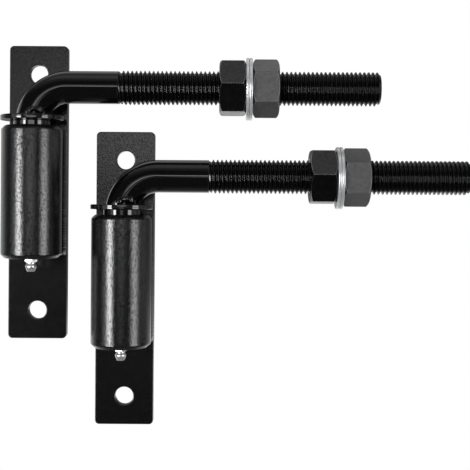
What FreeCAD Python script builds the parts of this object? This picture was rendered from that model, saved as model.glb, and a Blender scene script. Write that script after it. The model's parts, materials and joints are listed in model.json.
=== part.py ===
import FreeCAD, Part
import math
import os

from FreeCAD import Placement, Rotation, Vector

# A pair of adjustable gate hinges. Each one is a bolt bent to a J, whose plain end is the hinge pin
# and whose long threaded arm holds the gate, and a barrel welded to a plate that bolts to the post.
# All lengths are in millimetres, +Z is up, +X runs along the arm and +Y points into the post.
# The origin is the centre of the upper plate's back face, so the post's face is the plane Y = 0.

# Where the lower hinge lies from the upper one
pair_offset_x = 52.6
pair_offset_z = -51.4

# Mounting plate
plate_width = 35.0
plate_height = 176.0
plate_thickness = 6.0
plate_corner_radius = 2.5
plate_edge_break = 0.5
plate_hole_diameter = 11.0
plate_hole_spacing = 142.0

# Barrel
barrel_diameter = 35.0
barrel_length = 77.0
barrel_top_round = 2.4
barrel_bottom_round = 3.2
barrel_floor = 10.0
barrel_to_plate_gap = 0.9
barrel_pocket_clearance = 0.5
barrel_mouth_chamfer = 0.8

# Weld beads between the barrel and the plate
bead_toe_inset = 0.3
bead_wrap_angle = 56.0
bead_root_angle = 20.0
bead_crown = 0.9
bead_end_round = 2.2

# Bush that lines the barrel and carries the thrust washer
bush_wall = 1.0
bush_shoulder_height = 10.0
bush_proud = 3.0
bush_edge_round = 0.25
bush_lead_in_width = 0.2
bush_lead_in_depth = 3.0
bush_fit_clearance = 0.02
pin_running_clearance = 0.08

# J-shaped bolt
bar_diameter = 19.0
bend_radius = 21.5
bend_angle = 90.0
bend_below_bush_top = 2.0
grease_room = 3.5
pin_end_chamfer = 1.6
thread_diameter = 19.8
thread_start = 50.7
thread_run_out = 1.2
thread_pitch = 2.5
thread_depth = 1.48
thread_flank_angle = 30.0
thread_crest_share = 0.125
arm_reach = 202.5
arm_end_chamfer = 1.6

# Thrust washer under the bend and the weld that holds it
thrust_washer_diameter = 36.2
thrust_washer_thickness = 2.8
thrust_washer_edge_round = 0.5
thrust_washer_clearance = 0.1
thrust_running_gap = 0.1
washer_weld_height = 5.2
washer_weld_width = 4.4
washer_weld_fullness = 0.62
washer_weld_root_depth = 4.5
washer_weld_middle_angle = -72.0
washer_weld_spread_angle = 52.0

# Hexagon nuts on the arm
nut_across_flats = 29.8
nut_thickness = 15.4
nut_chamfer_angle = 30.0
nut_washer_face_ratio = 0.95
nut_bore_clearance = 0.05
nut_countersink = 0.9
inner_nut_turn = 24.0
outer_nut_turn = 0.0

# Flat washers between the nuts
arm_washer_diameter = 36.1
arm_washer_bore = 21.0
arm_washer_thickness = 1.8
arm_washer_edge_round = 0.3
arm_washer_hang = 0.45
arm_washer_gap = 0.1
clamp_plane = 126.5

# Grease nipple in the barrel's floor
nipple_hex_across_flats = 7.0
nipple_hex_height = 2.3
nipple_hex_turn = 15.0
nipple_shank_diameter = 6.0
nipple_shank_length = 6.0
nipple_neck_diameter = 5.2
nipple_head_diameter = 6.5
nipple_head_drop = 5.0
nipple_head_band = 1.0
nipple_head_flare = 1.0
nipple_tip_diameter = 4.3
nipple_total_drop = 7.9
nipple_passage_diameter = 1.6
nipple_mouth_diameter = 1.9
nipple_mouth_length = 0.5
nipple_ball_diameter = 2.4
nipple_ball_side_clearance = 0.1
nipple_ball_seat_clearance = 0.02
nipple_ball_travel = 0.6
nipple_thread_clearance = 0.05

# How closely two places, or two directions, must agree to count as the same
same_place = 0.01
hexagon_sector = 60.0

# Sizes and places that follow from the ones above
plate_front = -plate_thickness
barrel_radius = barrel_diameter / 2
axis_depth = plate_front - barrel_to_plate_gap - barrel_radius
barrel_top = barrel_length / 2
barrel_bottom = -barrel_length / 2
bar_radius = bar_diameter / 2
thread_radius = thread_diameter / 2
bush_inner_radius = bar_radius + pin_running_clearance
bush_outer_radius = bush_inner_radius + bush_wall
bush_top = barrel_top + bush_proud
bore_bottom = barrel_bottom + barrel_floor
bush_bottom = bore_bottom + bush_shoulder_height
pin_bottom = bore_bottom + grease_room
bend_start = bush_top - bend_below_bush_top
arm_height = bend_start + bend_radius
thrust_washer_bottom = bush_top + thrust_running_gap
thrust_washer_top = thrust_washer_bottom + thrust_washer_thickness
nipple_tip = barrel_bottom - nipple_total_drop
nipple_seat_reach = (nipple_ball_diameter / 2 + nipple_ball_seat_clearance) * math.sqrt(2)
nipple_ball_centre = nipple_tip + nipple_mouth_length + nipple_seat_reach - nipple_mouth_diameter / 2

up = Vector(0, 0, 1)
along_arm = Vector(1, 0, 0)
into_post = Vector(0, 1, 0)
pin_axis_point = Vector(0, axis_depth, 0)
arm_axis_point = Vector(0, axis_depth, arm_height)


def closed_face(points):
    """A flat face with straight edges through the points, in order."""
    return Part.Face(Part.makePolygon(points + points[:1]))


def turned(outline):
    """A turned piece about the pin axis, from (radius, height) points."""
    points = [Vector(radius, axis_depth, height) for radius, height in outline]
    return closed_face(points).revolve(pin_axis_point, up)


def turned_on_arm(outline, drop=0.0):
    """A turned piece about the arm axis, from (distance along the arm, radius) points."""
    centre = arm_axis_point - up * drop
    points = [centre + along_arm * reach + up * radius for reach, radius in outline]
    return closed_face(points).revolve(centre, along_arm)


def hexagon(across_flats, centre, normal, first_corner):
    """A hexagonal face about a centre, with one corner towards first_corner."""
    corner_radius = across_flats / math.sqrt(3)
    step = Rotation(normal, hexagon_sector)
    corners = []
    spoke = first_corner * corner_radius
    for _ in range(6):
        corners.append(centre + spoke)
        spoke = step.multVec(spoke)
    return closed_face(corners)


def edges_where(shape, wanted):
    """The edges of a shape whose middle point the test accepts."""
    found = []
    for edge in shape.Edges:
        middle = edge.valueAt((edge.FirstParameter + edge.LastParameter) / 2)
        if wanted(edge, middle):
            found.append(edge)
    return found


def edges_through(plate):
    """The straight edges of the plate that run from its front to its back."""
    return edges_where(plate, lambda edge, middle: abs(edge.Length - plate_thickness) < same_place)


def rims_outside(shape, radius, height):
    """The round edges of a turned piece at this radius from the pin axis and this height."""
    return edges_where(
        shape,
        lambda edge, middle: edge.Closed
        and abs(middle.z - height) < same_place
        and abs(math.hypot(middle.x, middle.y - axis_depth) - radius) < same_place,
    )


def mounting_plate():
    """Flat bar with rounded corners and a bolt hole near each end."""
    corner = Vector(-plate_width / 2, plate_front, -plate_height / 2)
    plate = Part.makeBox(plate_width, plate_thickness, plate_height, corner)
    plate = plate.makeFillet(plate_corner_radius, edges_through(plate))
    outline = edges_where(
        plate,
        lambda edge, middle: abs(middle.y) < same_place or abs(middle.y - plate_front) < same_place,
    )
    plate = plate.makeChamfer(plate_edge_break, outline)
    for side in (-1, 1):
        centre = Vector(0, plate_front, side * plate_hole_spacing / 2)
        hole = Part.makeCylinder(plate_hole_diameter / 2, plate_thickness, centre, into_post)
        plate = plate.cut(hole)
    return plate


def barrel():
    """Round barrel with a blind bore, a shoulder for the bush and a tapped floor."""
    pocket_radius = bar_radius + barrel_pocket_clearance
    bush_seat_radius = bush_outer_radius + bush_fit_clearance
    body = Part.makeCylinder(
        barrel_radius, barrel_length, Vector(0, axis_depth, barrel_bottom), up
    )
    body = body.makeFillet(barrel_top_round, rims_outside(body, barrel_radius, barrel_top))
    body = body.makeFillet(barrel_bottom_round, rims_outside(body, barrel_radius, barrel_bottom))
    bore = turned(
        [
            (0, bore_bottom),
            (pocket_radius, bore_bottom),
            (pocket_radius, bush_bottom),
            (bush_seat_radius, bush_bottom),
            (bush_seat_radius, barrel_top - barrel_mouth_chamfer),
            (bush_seat_radius + barrel_mouth_chamfer, barrel_top),
            (0, barrel_top),
        ]
    )
    nipple_hole = Part.makeCylinder(
        nipple_shank_diameter / 2 + nipple_thread_clearance,
        barrel_floor,
        Vector(0, axis_depth, barrel_bottom),
        up,
    )
    return body.cut(bore).cut(nipple_hole)


def weld_bead(side):
    """Bead that fills the groove between the barrel's side and the plate."""
    toe = plate_width / 2 - bead_toe_inset
    wrap = math.radians(bead_wrap_angle)
    root = math.radians(bead_root_angle)
    inside_radius = barrel_radius - bead_crown
    height = barrel_bottom

    def on_circle(angle, radius):
        return Vector(
            side * radius * math.sin(angle), axis_depth + radius * math.cos(angle), height
        )

    plate_toe = Vector(side * toe, plate_front, height)
    barrel_toe = on_circle(wrap, barrel_radius)
    chord = plate_toe - barrel_toe
    outward = Vector(-chord.y, chord.x, 0).normalize()
    if outward.x * side < 0:
        outward = outward * -1
    crown = barrel_toe + chord * 0.5 + outward * bead_crown
    plate_root = Vector(side * barrel_radius * math.sin(root), plate_front, height)
    inner_root = on_circle(root, inside_radius)
    inner_wrap = on_circle(wrap, inside_radius)
    edges = [
        Part.Arc(plate_toe, crown, barrel_toe).toShape(),
        Part.LineSegment(barrel_toe, inner_wrap).toShape(),
        Part.LineSegment(inner_wrap, inner_root).toShape(),
        Part.LineSegment(inner_root, plate_root).toShape(),
        Part.LineSegment(plate_root, plate_toe).toShape(),
    ]
    bead = Part.Face(Part.Wire(edges)).extrude(up * barrel_length)
    end_rims = edges_where(
        bead,
        lambda edge, middle: edge.Curve.TypeId == "Part::GeomCircle",
    )
    bead = bead.makeFillet(bead_end_round, end_rims)
    core = Part.makeCylinder(
        barrel_radius, barrel_length, Vector(0, axis_depth, barrel_bottom), up
    )
    return bead.cut(core)


def barrel_welds():
    """The two beads, one on each side of the barrel."""
    return Part.makeCompound([weld_bead(-1), weld_bead(1)])


def bush():
    """Plain sleeve that stands a little above the barrel."""
    sleeve = turned(
        [
            (bush_inner_radius, bush_bottom),
            (bush_outer_radius, bush_bottom),
            (bush_outer_radius, bush_top),
            (bush_inner_radius + bush_lead_in_width, bush_top),
            (bush_inner_radius, bush_top - bush_lead_in_depth),
        ]
    )
    return sleeve.makeFillet(bush_edge_round, rims_outside(sleeve, bush_outer_radius, bush_top))


def grease_nipple():
    """Nipple screwed up into the barrel's floor, with a passage and a ball seat."""
    shank_radius = nipple_shank_diameter / 2
    neck_radius = nipple_neck_diameter / 2
    head_radius = nipple_head_diameter / 2
    tip_radius = nipple_tip_diameter / 2
    shank_top = barrel_bottom + nipple_shank_length
    hex_bottom = barrel_bottom - nipple_hex_height
    head_bottom = barrel_bottom - nipple_head_drop - nipple_head_band / 2
    head_top = head_bottom + nipple_head_band
    body = turned(
        [
            (0, shank_top),
            (shank_radius, shank_top),
            (shank_radius, barrel_bottom),
            (neck_radius, barrel_bottom),
            (neck_radius, head_top + nipple_head_flare),
            (head_radius, head_top),
            (head_radius, head_bottom),
            (tip_radius, nipple_tip),
            (0, nipple_tip),
        ]
    )
    corner = Rotation(up, nipple_hex_turn).multVec(along_arm)
    hex_base = Vector(0, axis_depth, hex_bottom)
    collar = hexagon(nipple_hex_across_flats, hex_base, up, corner).extrude(
        up * nipple_hex_height
    )
    passage_radius = nipple_passage_diameter / 2
    mouth_radius = nipple_mouth_diameter / 2
    room_radius = nipple_ball_diameter / 2 + nipple_ball_side_clearance
    room_top = nipple_ball_centre + nipple_ball_diameter / 2 + nipple_ball_travel + mouth_radius
    passage = turned(
        [
            (0, shank_top),
            (passage_radius, shank_top),
            (passage_radius, room_top),
            (room_radius, room_top),
            (room_radius, nipple_ball_centre - nipple_seat_reach + room_radius),
            (mouth_radius, nipple_ball_centre - nipple_seat_reach + mouth_radius),
            (mouth_radius, nipple_tip),
            (0, nipple_tip),
        ]
    )
    return body.fuse(collar).cut(passage).removeSplitter()


def nipple_ball():
    """Steel ball that closes the nipple's mouth."""
    centre = Vector(0, axis_depth, nipple_ball_centre)
    return Part.makeSphere(nipple_ball_diameter / 2, centre)


def thread_grooves():
    """The thread's section as (reach, radius) points: one ring-shaped groove to each pitch."""
    first = thread_start + thread_run_out
    last = arm_reach - arm_end_chamfer
    half_crest = thread_pitch * thread_crest_share / 2
    flank = thread_depth * math.tan(math.radians(thread_flank_angle))
    points = [(first, thread_radius)]
    for index in range(int((last - first) / thread_pitch)):
        start = first + index * thread_pitch
        end = start + thread_pitch
        points += [
            (start + half_crest, thread_radius),
            (start + half_crest + flank, thread_radius - thread_depth),
            (end - half_crest - flank, thread_radius - thread_depth),
            (end - half_crest, thread_radius),
        ]
    return points + [(last, thread_radius)]


def j_bolt():
    """Round bar bent through a right angle, with a plain pin and a threaded arm."""
    bend_centre = Vector(bend_radius, axis_depth, bend_start)
    pin = turned(
        [
            (0, pin_bottom),
            (bar_radius - pin_end_chamfer, pin_bottom),
            (bar_radius, pin_bottom + pin_end_chamfer),
            (bar_radius, bend_start),
            (0, bend_start),
        ]
    )
    section = Part.Face(
        Part.Wire(Part.Circle(Vector(0, axis_depth, bend_start), up, bar_radius).toShape())
    )
    bend = section.revolve(bend_centre, into_post, bend_angle)
    arm = turned_on_arm(
        [
            (bend_radius, 0),
            (bend_radius, bar_radius),
            (thread_start, bar_radius),
            *thread_grooves(),
            (arm_reach, thread_radius - arm_end_chamfer),
            (arm_reach, 0),
        ]
    )
    return pin.fuse([bend, arm]).removeSplitter()


def thrust_washer():
    """Thick ring under the bend, countersunk to clear it, which turns on top of the bush."""
    outer_radius = thrust_washer_diameter / 2
    ring = turned(
        [
            (bend_side(thrust_washer_bottom) + thrust_washer_clearance, thrust_washer_bottom),
            (outer_radius, thrust_washer_bottom),
            (outer_radius, thrust_washer_top),
            (bend_side(thrust_washer_top) + thrust_washer_clearance, thrust_washer_top),
        ]
    )
    rims = rims_outside(ring, outer_radius, thrust_washer_bottom)
    rims += rims_outside(ring, outer_radius, thrust_washer_top)
    return ring.makeFillet(thrust_washer_edge_round, rims)


def bend_side(height):
    """How far the inner side of the bend lies from the pin axis at a height."""
    inner_bend_radius = bend_radius - bar_radius
    return bend_radius - math.sqrt(inner_bend_radius ** 2 - (height - bend_start) ** 2)


def washer_weld(bolt):
    """Short bead on the washer's top, against the side of the bend."""
    first = washer_weld_middle_angle - washer_weld_spread_angle / 2
    start = Rotation(up, first).multVec(along_arm)
    base = pin_axis_point + up * thrust_washer_top
    rise = up * washer_weld_height
    toe = base + start * (bar_radius + washer_weld_width)
    heel = base + start * (bar_radius - washer_weld_root_depth)
    crest = base + start * bar_radius + rise
    inner_crest = heel + rise
    belly = base + start * bar_radius + (toe - base - start * bar_radius + rise) * washer_weld_fullness
    edges = [
        Part.Arc(toe, belly, crest).toShape(),
        Part.LineSegment(crest, inner_crest).toShape(),
        Part.LineSegment(inner_crest, heel).toShape(),
        Part.LineSegment(heel, toe).toShape(),
    ]
    bead = Part.Face(Part.Wire(edges)).revolve(pin_axis_point, up, washer_weld_spread_angle)
    bead = bead.cut(bolt)
    pieces = sorted(bead.Solids, key=lambda solid: solid.Volume)
    return pieces[-1]


def hexagon_nut(inner_face, turn):
    """Hexagon nut chamfered on both faces, with its first face at the given reach."""
    corner_radius = nut_across_flats / math.sqrt(3)
    face_radius = nut_across_flats / 2 * nut_washer_face_ratio
    rise = (corner_radius - face_radius) * math.tan(math.radians(nut_chamfer_angle))
    bore_radius = thread_radius + nut_bore_clearance
    outer_face = inner_face + nut_thickness
    corner = Rotation(along_arm, turn + hexagon_sector / 2).multVec(into_post)
    base = arm_axis_point + along_arm * inner_face
    prism = hexagon(nut_across_flats, base, along_arm, corner).extrude(
        along_arm * nut_thickness
    )
    chamfered = turned_on_arm(
        [
            (inner_face, 0),
            (inner_face, face_radius),
            (inner_face + rise, corner_radius),
            (outer_face - rise, corner_radius),
            (outer_face, face_radius),
            (outer_face, 0),
        ]
    )
    hole = turned_on_arm(
        [
            (inner_face, 0),
            (inner_face, bore_radius + nut_countersink),
            (inner_face + nut_countersink, bore_radius),
            (outer_face - nut_countersink, bore_radius),
            (outer_face, bore_radius + nut_countersink),
            (outer_face, 0),
        ]
    )
    return prism.common(chamfered).cut(hole)


def arm_washer(inner_face):
    """Flat washer that hangs on the arm by the top of its bore."""
    outer_radius = arm_washer_diameter / 2
    outer_face = inner_face + arm_washer_thickness
    ring = turned_on_arm(
        [
            (inner_face, arm_washer_bore / 2),
            (inner_face, outer_radius),
            (outer_face, outer_radius),
            (outer_face, arm_washer_bore / 2),
        ],
        arm_washer_hang,
    )
    hub = arm_axis_point - up * arm_washer_hang
    rims = edges_where(
        ring,
        lambda edge, middle: edge.Closed
        and abs(math.hypot(middle.y - hub.y, middle.z - hub.z) - outer_radius) < same_place,
    )
    return ring.makeFillet(arm_washer_edge_round, rims)


def hinge_pieces():
    """The pieces of one hinge, by name, with its plate centred on the origin."""
    inner_washer_face = clamp_plane - arm_washer_gap / 2 - arm_washer_thickness
    outer_washer_face = clamp_plane + arm_washer_gap / 2
    inner_nut_face = inner_washer_face - arm_washer_gap - nut_thickness
    outer_nut_face = outer_washer_face + arm_washer_thickness + arm_washer_gap
    bolt = j_bolt()
    return {
        "mounting_plate": mounting_plate(),
        "barrel": barrel(),
        "barrel_welds": barrel_welds(),
        "bush": bush(),
        "grease_nipple": grease_nipple(),
        "nipple_ball": nipple_ball(),
        "j_bolt": bolt,
        "thrust_washer": thrust_washer(),
        "washer_weld": washer_weld(bolt),
        "inner_nut": hexagon_nut(inner_nut_face, inner_nut_turn),
        "inner_washer": arm_washer(inner_washer_face),
        "outer_washer": arm_washer(outer_washer_face),
        "outer_nut": hexagon_nut(outer_nut_face, outer_nut_turn),
    }


def write_hinge(prefix, place):
    """Write each piece of one hinge, moved to where that hinge lies."""
    for name, shape in hinge_pieces().items():
        piece = shape.copy()
        piece.Placement = Placement(place, Rotation()).multiply(piece.Placement)
        piece.exportStep(f"parts/{prefix}_{name}.step")


os.makedirs("parts", exist_ok=True)
write_hinge("upper", Vector(0, 0, 0))
write_hinge("lower", Vector(pair_offset_x, 0, pair_offset_z))
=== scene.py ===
# %% [markdown]
# The frame
#
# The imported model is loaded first. It is the fixed frame: the places below are read from it, so
# a piece made here lands on the solid that it dresses. The object is a pair of
# adjustable gate hinges, and both are the same hinge, so each piece is modelled once at the
# upper hinge and copied to the lower one.

# %% Load the frame
import bpy
import json
import math
import random
from mathutils import Matrix, Vector


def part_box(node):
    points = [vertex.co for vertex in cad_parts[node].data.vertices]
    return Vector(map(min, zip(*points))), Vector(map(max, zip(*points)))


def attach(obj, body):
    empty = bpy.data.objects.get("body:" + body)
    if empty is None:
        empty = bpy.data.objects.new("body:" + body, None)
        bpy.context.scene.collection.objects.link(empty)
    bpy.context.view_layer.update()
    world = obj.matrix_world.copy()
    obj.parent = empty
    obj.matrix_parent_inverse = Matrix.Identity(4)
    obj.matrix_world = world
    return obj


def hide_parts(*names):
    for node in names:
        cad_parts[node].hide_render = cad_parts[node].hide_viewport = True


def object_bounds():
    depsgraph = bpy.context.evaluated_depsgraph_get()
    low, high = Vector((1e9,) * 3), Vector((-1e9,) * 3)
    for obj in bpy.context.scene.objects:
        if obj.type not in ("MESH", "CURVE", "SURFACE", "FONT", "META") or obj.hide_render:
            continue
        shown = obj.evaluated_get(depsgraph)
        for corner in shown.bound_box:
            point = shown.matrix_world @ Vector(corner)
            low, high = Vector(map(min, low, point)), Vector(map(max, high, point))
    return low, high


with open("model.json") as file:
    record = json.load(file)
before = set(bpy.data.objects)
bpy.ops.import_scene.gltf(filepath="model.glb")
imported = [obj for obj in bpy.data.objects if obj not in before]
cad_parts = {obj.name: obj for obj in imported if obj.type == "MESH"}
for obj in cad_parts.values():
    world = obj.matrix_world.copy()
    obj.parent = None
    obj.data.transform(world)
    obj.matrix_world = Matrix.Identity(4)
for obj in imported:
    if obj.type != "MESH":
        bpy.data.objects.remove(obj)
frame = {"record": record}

mm = 0.001
up = Vector((0, 0, 1))
along_arm = Vector((1, 0, 0))
into_post = Vector((0, 1, 0))

cad_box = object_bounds()
print("CAD box in mm:", [[round(value / mm, 1) for value in corner] for corner in cad_box])

# %% [markdown]
# Places that many pieces share
#
# The barrel's box gives the pin's axis, and the inner nut's box gives the arm's axis. The
# lower hinge is the upper one moved sideways and down, and the two barrels' boxes give how far.

# %% Read the shared places
def middle_of(node):
    """The middle of a node's box."""
    low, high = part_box(node)
    return (low + high) / 2


def size_of(node):
    """The lengths of a node's box along the three axes."""
    low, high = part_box(node)
    return high - low


barrel_low, barrel_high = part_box("upper_barrel")
pin_axis = middle_of("upper_barrel")
pin_axis.z = 0
arm_axis = middle_of("upper_inner_nut")
arm_axis.x = 0
to_lower_hinge = middle_of("lower_barrel") - middle_of("upper_barrel")
print("pin axis in mm:", pin_axis / mm, "arm axis in mm:", arm_axis / mm)
print("the lower hinge lies this far away in mm:", to_lower_hinge / mm)

# %% [markdown]
# The camera
#
# The photograph looks square at the hinges from about half a metre away: the plates behind look
# 4% smaller than the barrels in front, which fixes the distance, and the pictured width then
# fixes the lens. Shift moves the picture up or down without tilting the camera, so upright edges
# stay upright. The picture is turned by about 0.4 degrees, so the camera rolls. The two hinges in
# the photograph are one picture pasted twice, so this camera is a middle way between them.

# %% Make the camera
view_distance = 560 * mm
view_middle_x = 118.6 * mm
view_middle_z = -24.35 * mm
camera_height = -3.3 * mm
view_lens = 73.6
view_sensor = 36
view_roll = math.radians(0.39)
nearest_seen = 10 * mm


def added(name, add, location=(0, 0, 0), **settings):
    """Add one new object with nothing else selected, and name it."""
    bpy.ops.object.select_all(action="DESELECT")
    add(location=location, **settings)
    bpy.context.object.name = name
    return bpy.context.object


camera = added(
    "photo_camera",
    bpy.ops.object.camera_add,
    location=(view_middle_x, pin_axis.y - view_distance, camera_height),
    rotation=(math.radians(90), -view_roll, 0),
)
camera.data.lens = view_lens
camera.data.sensor_width = view_sensor
camera.data.shift_y = (view_middle_z - camera_height) / view_distance * view_lens / view_sensor
camera.data.clip_start = nearest_seen
bpy.context.scene.camera = camera
bpy.context.scene.view_settings.view_transform = "Standard"
print("the camera stands in mm at:", camera.location / mm)

# %% [markdown]
# Floor, world and lamps
#
# Black enamel shows hardly any colour of its own. What the eye reads as its shape is what it
# reflects, so the lamps are placed where the bright bands on the barrel say they stood: a tall
# soft box to the left, a wider and dimmer one to the right. A dark room that only reflections
# see keeps the bands apart, and soft patches of light in it give the flat pieces their greys.
# The floor comes first. It lies well below the hinges, so their shadow falls below the picture.

# %% Make the floor
floor_drop = 210 * mm
floor_width = 9.0
floor_colour = (0.86, 0.86, 0.86, 1)
floor_roughness = 0.9


def new_material(name):
    """A new material, with its nodes, its links and its shader."""
    material = bpy.data.materials.new(name)
    material.use_nodes = True
    tree = material.node_tree
    return material, tree.nodes, tree.links, tree.nodes["Principled BSDF"]


def pale_floor():
    """A plain pale floor; its material is handed back."""
    place = (view_middle_x, 0, cad_box[0].z - floor_drop)
    floor = added("pale_floor", bpy.ops.mesh.primitive_plane_add, place, size=floor_width)
    floor.visible_glossy = False
    material, _, _, shader = new_material("pale_floor")
    shader.inputs["Base Color"].default_value = floor_colour
    shader.inputs["Roughness"].default_value = floor_roughness
    floor.data.materials.append(material)
    print("the floor lies at a height of", round(floor.location.z / mm), "mm")
    return material


floor_material = pale_floor()

# %% [markdown]
# The floor is pale and takes the shadow. For the camera, and for shiny metal, a plain white is
# mixed in where the floor runs off into the distance, so that it ends without a line.

# %% Fade the floor into the white backdrop
fade_start = 0.25
fade_end = 0.6


def arithmetic(nodes, links, operation, first, second):
    """A math node; each operand is a number or a socket."""
    node = nodes.new("ShaderNodeMath")
    node.operation = operation
    for index, value in enumerate((first, second)):
        if isinstance(value, (int, float)):
            node.inputs[index].default_value = value
        else:
            links.new(value, node.inputs[index])
    return node.outputs[0]


def seen_directly(nodes, links):
    """1 for rays from the camera and for mirrored and refracted ones, else 0."""
    path = nodes.new("ShaderNodeLightPath").outputs
    seen = arithmetic(nodes, links, "MAXIMUM", path["Is Camera Ray"], path["Is Glossy Ray"])
    return arithmetic(nodes, links, "MAXIMUM", seen, path["Is Transmission Ray"])


def fade_to_white(material):
    """Turn the floor white with its distance from the object, for the eye and for reflections."""
    nodes = material.node_tree.nodes
    links = material.node_tree.links
    place = nodes.new("ShaderNodeTexCoord")
    length = nodes.new("ShaderNodeVectorMath")
    length.operation = "LENGTH"
    reach = nodes.new("ShaderNodeMapRange")
    reach.inputs["From Min"].default_value = fade_start
    reach.inputs["From Max"].default_value = fade_end
    white = nodes.new("ShaderNodeEmission")
    white.inputs["Color"].default_value = (1, 1, 1, 1)
    mix = nodes.new("ShaderNodeMixShader")
    links.new(place.outputs["Object"], length.inputs[0])
    links.new(length.outputs["Value"], reach.inputs["Value"])
    seen = seen_directly(nodes, links)
    fade = arithmetic(nodes, links, "MULTIPLY", seen, reach.outputs["Result"])
    links.new(fade, mix.inputs["Fac"])
    links.new(nodes["Principled BSDF"].outputs[0], mix.inputs[1])
    links.new(white.outputs[0], mix.inputs[2])
    links.new(mix.outputs[0], nodes["Material Output"].inputs["Surface"])


fade_to_white(floor_material)
print("the floor turns white between", fade_start, "and", fade_end, "metres away")

# %% [markdown]
# The world lights the object softly from all round. The camera sees it at a strength of 1, which
# is plain white, while the light that it gives to the object stays lower.

# %% Make the white world
fill_strength = 0.62


def white_world():
    """A world that lights softly and looks white."""
    world = bpy.data.worlds.new("white_studio")
    bpy.context.scene.world = world
    world.use_nodes = True
    nodes = world.node_tree.nodes
    links = world.node_tree.links
    strength = nodes.new("ShaderNodeMapRange")
    strength.inputs["To Min"].default_value = fill_strength
    strength.inputs["To Max"].default_value = 1.0
    background = nodes["Background"]
    background.inputs["Color"].default_value = (1, 1, 1, 1)
    links.new(seen_directly(nodes, links), strength.inputs["Value"])
    links.new(strength.outputs["Result"], background.inputs["Strength"])


white_world()
print("the world lights the object at a strength of", fill_strength)

# %% [markdown]
# What shiny black metal mirrors is the room around it. The room could be a photographed studio,
# but a few soft patches of light can each be moved until the greys agree with the photograph.
# Each patch lies between two sides, two depths and two heights of the view out from the object:
# dim ones below and at the sides, brighter ones above, the brightest high up behind. Around the
# camera are three more. The window gives the middle of the barrels and the nuts their grey, its
# top does so for the upper ends of the plates, and the strip is the fine line along both arms.

# %% List the patches of light
# Each patch: its brightness, then for side, depth and height where it starts and ends.
# Each start and end is a pair of places between which it fades; none means no limit.
patches = {
    "above": (0.24, None, None, None, None, (0.55, 0.85), None),
    "overhead": (0.38, None, None, None, (0.05, -0.15), (0.80, 0.92), None),
    "high_behind": (0.48, None, None, (0.15, 0.50), None, (0.45, 0.75), None),
    "behind": (0.14, None, None, (0.20, 0.75), None, (-0.20, -0.05), None),
    "table_behind": (1.05, None, None, (0.30, 0.70), None, (-0.55, -0.40), (-0.10, -0.20)),
    "left_side": (0.80, None, (-0.35, -0.60), (-0.05, 0.45), None, (-0.30, -0.10), (0.45, 0.30)),
    "table_below": (0.50, None, None, (0.30, 0.60), None, (-0.86, -0.74), (-0.36, -0.46)),
    "below": (0.16, None, None, (-0.30, 0.30), None, None, (-0.40, -0.60)),
    "right_side": (0.55, (0.75, 0.95), None, None, (0.60, 0.20), (-0.30, -0.10), (0.45, 0.30)),
    "window": (
        1.15, (-0.13, -0.01), (0.28, 0.16), None, (-0.70, -0.80), (-0.17, -0.07), (0.09, 0.03)
    ),
    "window_top": (
        1.05, (-0.40, -0.26), (-0.10, -0.16), None, (-0.70, -0.80), (0.08, 0.11), (0.28, 0.20)
    ),
    "strip": (
        3.6, (-0.27, -0.17), (0.42, 0.36), None, (-0.60, -0.75), (0.035, 0.05), (0.13, 0.11)
    ),
}
print("the dark room has", len(patches), "soft patches of light")

# %% [markdown]
# The room itself is a large ball around the object that only reflections meet. It gives off
# light by itself: at each of its points the patches are added up from soft steps.

# %% Make the room that reflections see
room_radius = 3.0
room_floor = 0.05


def soft_step(nodes, links, value, low, high):
    """A soft step from 0 at low to 1 at high."""
    step = nodes.new("ShaderNodeMapRange")
    step.interpolation_type = "SMOOTHSTEP"
    step.inputs["From Min"].default_value = low
    step.inputs["From Max"].default_value = high
    links.new(value, step.inputs["Value"])
    return step.outputs["Result"]


def reflected_room():
    """The ball and its soft patches of brightness."""
    room = added(
        "reflected_room",
        bpy.ops.mesh.primitive_uv_sphere_add,
        (view_middle_x, 0, view_middle_z),
        segments=48,
        ring_count=24,
        radius=room_radius,
    )
    room.visible_camera = False
    room.visible_diffuse = False
    room.visible_shadow = False
    room.visible_transmission = False
    material, nodes, links, shader = new_material("reflected_room")
    nodes.remove(shader)
    place = nodes.new("ShaderNodeTexCoord")
    unit = nodes.new("ShaderNodeVectorMath")
    unit.operation = "NORMALIZE"
    parts = nodes.new("ShaderNodeSeparateXYZ")
    links.new(place.outputs["Object"], unit.inputs[0])
    links.new(unit.outputs["Vector"], parts.inputs[0])
    side, depth, height = parts.outputs
    total = room_floor
    for patch, *limits in patches.values():
        for value, limit in zip((side, side, depth, depth, height, height), limits):
            if limit is not None:
                inside = soft_step(nodes, links, value, *limit)
                patch = arithmetic(nodes, links, "MULTIPLY", patch, inside)
        total = arithmetic(nodes, links, "ADD", total, patch)
    glow = nodes.new("ShaderNodeEmission")
    links.new(total, glow.inputs["Strength"])
    links.new(glow.outputs[0], nodes["Material Output"].inputs["Surface"])
    room.data.materials.append(material)


reflected_room()
print("the dark room's radius in metres:", room_radius)

# %% [markdown]
# Three rectangular lamps light the hinges. Each shows as a bright band along the barrels: the
# left box is the strong band, the faint glow beside it widens that band outwards, and the right
# box is the dimmer band.

# %% Place the soft boxes
def soft_box(name, bearing, height, distance, width, tall, power):
    """A rectangular lamp at a compass bearing from the camera's side, aimed at the object."""
    target = Vector((view_middle_x, pin_axis.y, view_middle_z))
    angle = math.radians(bearing)
    place = target + Vector((math.sin(angle), -math.cos(angle), 0)) * distance + up * height
    lamp = added(name, bpy.ops.object.light_add, place, type="AREA")
    lamp.data.shape = "RECTANGLE"
    lamp.data.size = width
    lamp.data.size_y = tall
    lamp.data.energy = power
    lamp.rotation_mode = "QUATERNION"
    lamp.rotation_quaternion = (target - place).to_track_quat("-Z", "Y")
    lamp.visible_camera = False
    print(name, "gives", power, "watts from a bearing of", bearing, "degrees")


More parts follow.
